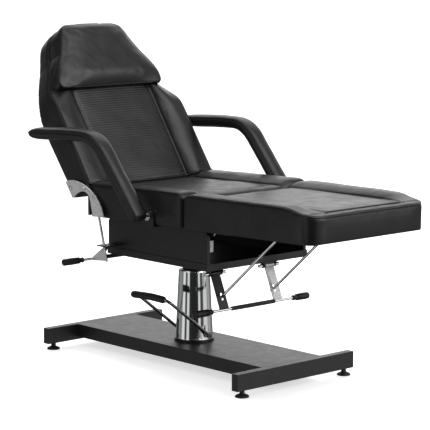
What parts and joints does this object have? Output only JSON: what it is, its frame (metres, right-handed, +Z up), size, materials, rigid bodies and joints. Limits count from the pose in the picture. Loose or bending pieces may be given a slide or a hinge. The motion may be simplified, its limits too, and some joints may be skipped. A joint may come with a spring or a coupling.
{
  "type": "facial treatment bed",
  "caption": "Padded treatment bed with reclining back, tilting leg rest, headrest pillow and side armrests on a pedal-pumped hydraulic column over a low steel base.",
  "frame": {"origin": "on the floor, under the middle of the overall length and width", "axes": "+X towards the foot end, the way a sitter faces; +Y to the sitter's left; +Z up"},
  "size_m": [1.6099, 0.904, 1.2442],
  "materials": {
    "leather": "semi-gloss artificial leather",
    "plywood": "painted dark",
    "coat": "satin black powder coat",
    "chrome": "polished",
    "zinc": "satin zinc plate",
    "rubber": "matte"
  },
  "bodies": {
    "base": {"base_plate": "coat", "front_crossbar": "coat", "rear_crossbar": "coat", "pump_cylinder": "coat", "pump_cover": "chrome"},
    "foot_front_left": {"levelling_foot_front_left": "rubber"},
    "foot_front_right": {"levelling_foot_front_right": "rubber"},
    "foot_rear_left": {"levelling_foot_rear_left": "rubber"},
    "foot_rear_right": {"levelling_foot_rear_right": "rubber"},
    "pedal": {"pedal_shaft": "zinc", "pedal_frame": "coat", "pedal_grip": "rubber"},
    "piston": {"pump_piston": "chrome"},
    "seat_frame": {"mounting_plate": "coat", "tray_pan": "coat", "side_panel_left": "coat", "side_panel_right": "coat", "front_hinge_frame": "coat", "rear_hinge_frame": "coat", "armrest_strap": "coat", "seat_board": "plywood", "seat_cushion": "leather", "front_lock_hanger_left": "coat", "front_lock_hanger_right": "coat", "front_lock_pin_left": "chrome", "front_lock_pin_right": "chrome", "rear_lock_bracket_left": "coat", "rear_lock_bracket_right": "coat"},
    "back": {"back_board": "plywood", "back_cushion": "leather", "headrest_cushion": "leather", "arch_plate_left": "zinc", "arch_plate_right": "zinc"},
    "back_rod_left": {"back_rod_left": "chrome"},
    "back_rod_right": {"back_rod_right": "chrome"},
    "leg": {"leg_board": "plywood", "leg_cushion": "leather", "leg_hinge_lug_left": "zinc", "leg_hinge_lug_right": "zinc", "leg_rod_clevis_left": "zinc", "leg_rod_clevis_right": "zinc"},
    "leg_rod_left": {"leg_rod_left": "chrome"},
    "leg_rod_right": {"leg_rod_right": "chrome"},
    "front_handle": {"front_lock_plate_left": "zinc", "front_lock_plate_right": "zinc", "front_handle_bar": "chrome", "front_handle_sleeve": "rubber", "front_handle_grip_left": "rubber", "front_handle_grip_right": "rubber"},
    "rear_handle": {"rear_lever_left": "zinc", "rear_lever_right": "zinc", "rear_handle_bar": "chrome", "rear_handle_sleeve": "rubber", "rear_handle_grip_left": "rubber", "rear_handle_grip_right": "rubber"},
    "arm_left": {"armrest_bar_left": "chrome", "armrest_pad_left": "leather"},
    "arm_right": {"armrest_bar_right": "chrome", "armrest_pad_right": "leather"}
  },
  "joints": [
    {"name": "front_left_levelling", "type": "slide", "parent": "base", "child": "foot_front_left", "axis": [0, 0, -1], "range_m": [0, 0.01]},
    {"name": "front_right_levelling", "type": "slide", "parent": "base", "child": "foot_front_right", "axis": [0, 0, -1], "range_m": [0, 0.01]},
    {"name": "rear_left_levelling", "type": "slide", "parent": "base", "child": "foot_rear_left", "axis": [0, 0, -1], "range_m": [0, 0.01]},
    {"name": "rear_right_levelling", "type": "slide", "parent": "base", "child": "foot_rear_right", "axis": [0, 0, -1], "range_m": [0, 0.01]},
    {"name": "pedal_swing", "type": "hinge", "parent": "base", "child": "pedal", "pos_m": [-0.087, 0, 0.112], "axis": [1, 0, 0], "range_deg": [-4, 25]},
    {"name": "lift", "type": "slide", "parent": "base", "child": "piston", "axis": [0, 0, 1], "range_m": [-0.04, 0.11]},
    {"name": "swivel", "type": "hinge", "parent": "piston", "child": "seat_frame", "pos_m": [-0.087, 0, 0.4], "axis": [0, 0, 1], "continuous": true},
    {"name": "recline", "type": "hinge", "parent": "seat_frame", "child": "back", "pos_m": [-0.325, 0, 0.657], "axis": [0, -1, 0], "range_deg": [-15, 55.6]},
    {"name": "back_rod_swing_left", "type": "hinge", "parent": "back", "child": "back_rod_left", "pos_m": [-0.273, 0.3165, 0.628], "axis": [0, -1, 0], "range_deg": [-61, 17]},
    {"name": "back_rod_swing_right", "type": "hinge", "parent": "back", "child": "back_rod_right", "pos_m": [-0.273, -0.3165, 0.628], "axis": [0, -1, 0], "range_deg": [-61, 17]},
    {"name": "leg_tilt", "type": "hinge", "parent": "seat_frame", "child": "leg", "pos_m": [0.253, 0, 0.546], "axis": [0, 1, 0], "range_deg": [0, 60]},
    {"name": "leg_rod_swing_left", "type": "hinge", "parent": "leg", "child": "leg_rod_left", "pos_m": [0.495, 0.13, 0.5515], "axis": [0, 1, 0], "range_deg": [-32, 1]},
    {"name": "leg_rod_swing_right", "type": "hinge", "parent": "leg", "child": "leg_rod_right", "pos_m": [0.495, -0.13, 0.5515], "axis": [0, 1, 0], "range_deg": [-32, 1]},
    {"name": "front_release", "type": "hinge", "parent": "seat_frame", "child": "front_handle", "pos_m": [0.17, 0, 0.383], "axis": [0, -1, 0], "range_deg": [0, 8]},
    {"name": "rear_release", "type": "hinge", "parent": "seat_frame", "child": "rear_handle", "pos_m": [-0.237, 0, 0.44], "axis": [0, 1, 0], "range_deg": [0, 12]},
    {"name": "armrest_swing_left", "type": "hinge", "parent": "seat_frame", "child": "arm_left", "pos_m": [0.029, 0.371, 0.594], "axis": [0, -1, 0], "range_deg": [0, 50]},
    {"name": "armrest_swing_right", "type": "hinge", "parent": "seat_frame", "child": "arm_right", "pos_m": [0.029, -0.371, 0.594], "axis": [0, -1, 0], "range_deg": [0, 50]}
  ],
  "couplings": [
    {"joint": "back_rod_swing_left", "follows": "recline", "ratio": -1.09},
    {"joint": "back_rod_swing_right", "follows": "recline", "ratio": -1.09},
    {"joint": "leg_rod_swing_left", "follows": "leg_tilt", "ratio": -0.517},
    {"joint": "leg_rod_swing_right", "follows": "leg_tilt", "ratio": -0.517}
  ]
}
